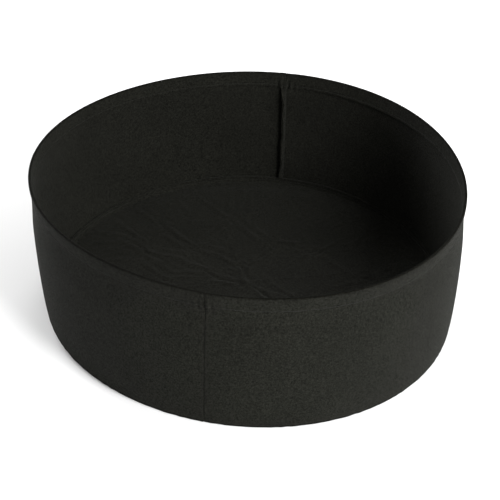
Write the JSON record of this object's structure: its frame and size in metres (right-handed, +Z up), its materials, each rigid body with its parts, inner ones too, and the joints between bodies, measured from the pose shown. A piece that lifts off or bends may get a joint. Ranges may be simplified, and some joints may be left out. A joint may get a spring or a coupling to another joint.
{
  "type": "fabric grow bag",
  "caption": "Low, wide, round felt planter with a hemmed open top, upright side seams and a flat sewn-in base, standing open and empty.",
  "frame": {"origin": "on the ground at the middle of the base", "axes": "+Z up, through the open top; -Y towards the side with the front seam, which stands 10 degrees round from -Y towards -X"},
  "size_m": [0.9214, 0.9214, 0.3048],
  "materials": {
    "black_felt": "matt needle-punched felt",
    "black_thread": "satin twisted polyester thread"
  },
  "bodies": {
    "root": {"wall_panel_right": "black_felt", "wall_panel_left": "black_felt", "base_panel": "black_felt", "hem_needle_thread": "black_thread", "hem_bobbin_thread": "black_thread", "front_seam_needle_thread": "black_thread", "front_seam_bobbin_thread": "black_thread", "back_seam_needle_thread": "black_thread", "back_seam_bobbin_thread": "black_thread", "base_seam_needle_thread": "black_thread", "base_seam_bobbin_thread": "black_thread"}
  },
  "joints": []
}
